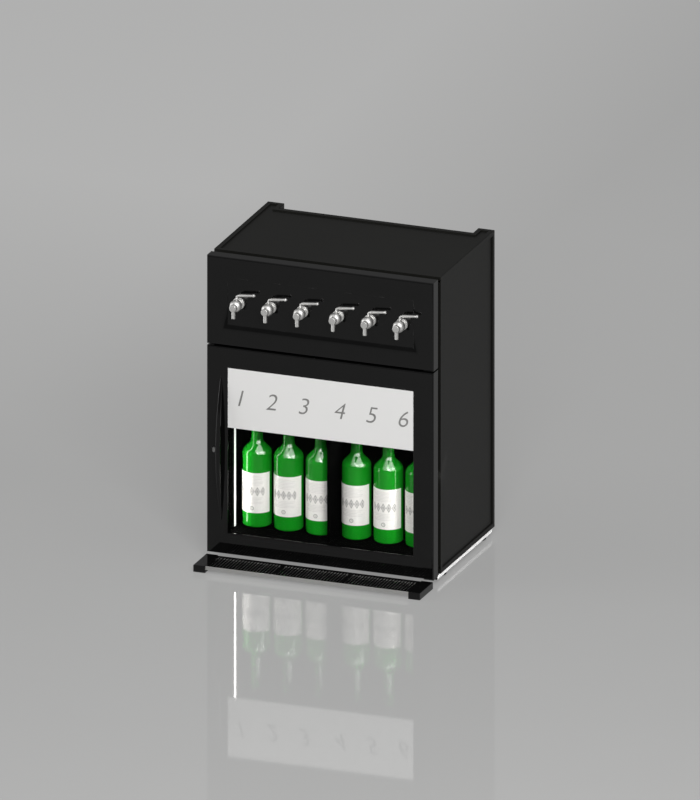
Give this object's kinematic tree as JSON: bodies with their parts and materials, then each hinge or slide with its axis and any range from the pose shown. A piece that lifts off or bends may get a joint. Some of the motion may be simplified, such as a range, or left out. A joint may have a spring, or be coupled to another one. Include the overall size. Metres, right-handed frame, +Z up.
{
  "type": "wine preservation dispenser",
  "caption": "Floor or counter cabinet that keeps open wine bottles cold under gas behind a hinged glass door and pours them through a row of lever taps over a drip tray.",
  "frame": {"origin": "middle of the footprint on the floor, drip tray included", "axes": "+Z up, the front with the taps and the door faces -Y, +X to the right as seen from the front"},
  "size_m": [0.6, 0.52, 0.8],
  "materials": {
    "gloss_black": "high gloss black",
    "case_black": "satin black paint",
    "chamber_black": "satin black plastic",
    "galvanised": "bright zinc",
    "stainless": "brushed",
    "satin_chrome": "satin",
    "lock_chrome": "satin",
    "door_glass": "clear",
    "sign_white": "satin pale grey",
    "seal_rubber": "matte black",
    "foot_rubber": "matte black",
    "foam": "rigid foam",
    "light_diffuser": "opal white",
    "bottle_glass": "green",
    "stopper_plastic": "satin black",
    "clear_tube": "translucent",
    "gas_tube": "blue",
    "anodised": "satin anodised",
    "brass_fitting": "machined",
    "machine_black": "semi-gloss black",
    "fin_metal": "mill finish",
    "copper_line": "drawn copper",
    "board_green": "circuit board",
    "fan_plastic": "moulded black",
    "screw_steel": "zinc plated"
  },
  "bodies": {
    "cabinet": {"base_pan": "galvanised", "levelling_feet": "foot_rubber", "base_frame": "case_black", "side_panel_left": "case_black", "side_panel_right": "case_black", "rear_posts": "case_black", "top_panel": "case_black", "rear_panel": "case_black", "rear_panel_screws": "screw_steel", "chamber_liner": "chamber_black", "insulation": "foam", "bottle_shelf": "chamber_black", "chamber_divider": "chamber_black", "light_strips": "light_diffuser", "tap_panel_spacer": "seal_rubber", "tap_panel_frame": "gloss_black", "tap_panel_plate": "gloss_black", "hinge_brackets": "case_black", "bottle_stoppers": "stopper_plastic", "wine_lines": "clear_tube", "gas_lines": "gas_tube", "gas_manifold": "anodised", "gas_regulator": "brass_fitting", "compressor": "machine_black", "condenser": "fin_metal", "evaporator": "fin_metal", "refrigerant_lines": "copper_line", "control_board": "board_green", "power_inlet": "fan_plastic", "tap_body_1": "satin_chrome", "bottle_1": "bottle_glass", "tap_body_2": "satin_chrome", "bottle_2": "bottle_glass", "tap_body_3": "satin_chrome", "bottle_3": "bottle_glass", "tap_body_4": "satin_chrome", "bottle_4": "bottle_glass", "tap_body_5": "satin_chrome", "bottle_5": "bottle_glass", "tap_body_6": "satin_chrome", "bottle_6": "bottle_glass"},
    "door": {"door_frame": "gloss_black", "door_glass": "door_glass", "sign_panel": "sign_white", "door_gasket": "seal_rubber", "door_handle": "gloss_black", "lock_housing": "gloss_black"},
    "lock": {"lock_barrel": "lock_chrome"},
    "drip_tray": {"tray_end_caps": "gloss_black", "drip_pan": "stainless"},
    "left_grid": {"grid_left": "gloss_black"},
    "centre_grid": {"grid_centre": "gloss_black"},
    "right_grid": {"grid_right": "gloss_black"},
    "fan": {"fan_rotor": "fan_plastic"},
    "lever_1": {"tap_lever_1": "satin_chrome"},
    "lever_2": {"tap_lever_2": "satin_chrome"},
    "lever_3": {"tap_lever_3": "satin_chrome"},
    "lever_4": {"tap_lever_4": "satin_chrome"},
    "lever_5": {"tap_lever_5": "satin_chrome"},
    "lever_6": {"tap_lever_6": "satin_chrome"}
  },
  "joints": [
    {"name": "door_hinge", "type": "hinge", "parent": "cabinet", "child": "door", "pos_m": [0.29, -0.15, 0.3], "axis": [0, 0, 1], "range_deg": [0, 110]},
    {"name": "lock_turn", "type": "hinge", "parent": "door", "child": "lock", "pos_m": [-0.2795, -0.167, 0.2935], "axis": [0, 1, 0], "range_deg": [0, 90]},
    {"name": "tray_slide", "type": "slide", "parent": "cabinet", "child": "drip_tray", "axis": [0, -1, 0], "range_m": [0, 0.15]},
    {"name": "left_grid_lift", "type": "slide", "parent": "drip_tray", "child": "left_grid", "axis": [0, 0, 1], "range_m": [0, 0.04]},
    {"name": "centre_grid_lift", "type": "slide", "parent": "drip_tray", "child": "centre_grid", "axis": [0, 0, 1], "range_m": [0, 0.04]},
    {"name": "right_grid_lift", "type": "slide", "parent": "drip_tray", "child": "right_grid", "axis": [0, 0, 1], "range_m": [0, 0.04]},
    {"name": "fan_spin", "type": "hinge", "parent": "cabinet", "child": "fan", "pos_m": [0.095, 0.172, 0.17], "axis": [0, 1, 0], "continuous": true},
    {"name": "lever_turn_1", "type": "hinge", "parent": "cabinet", "child": "lever_1", "pos_m": [-0.216, -0.1778, 0.7], "axis": [0, 0, 1], "range_deg": [-90, 0]},
    {"name": "lever_turn_2", "type": "hinge", "parent": "cabinet", "child": "lever_2", "pos_m": [-0.132, -0.1778, 0.7], "axis": [0, 0, 1], "range_deg": [-90, 0]},
    {"name": "lever_turn_3", "type": "hinge", "parent": "cabinet", "child": "lever_3", "pos_m": [-0.0475, -0.1778, 0.7], "axis": [0, 0, 1], "range_deg": [-90, 0]},
    {"name": "lever_turn_4", "type": "hinge", "parent": "cabinet", "child": "lever_4", "pos_m": [0.0475, -0.1778, 0.7], "axis": [0, 0, 1], "range_deg": [-90, 0]},
    {"name": "lever_turn_5", "type": "hinge", "parent": "cabinet", "child": "lever_5", "pos_m": [0.132, -0.1778, 0.7], "axis": [0, 0, 1], "range_deg": [-90, 0]},
    {"name": "lever_turn_6", "type": "hinge", "parent": "cabinet", "child": "lever_6", "pos_m": [0.216, -0.1778, 0.7], "axis": [0, 0, 1], "range_deg": [-90, 0]}
  ]
}
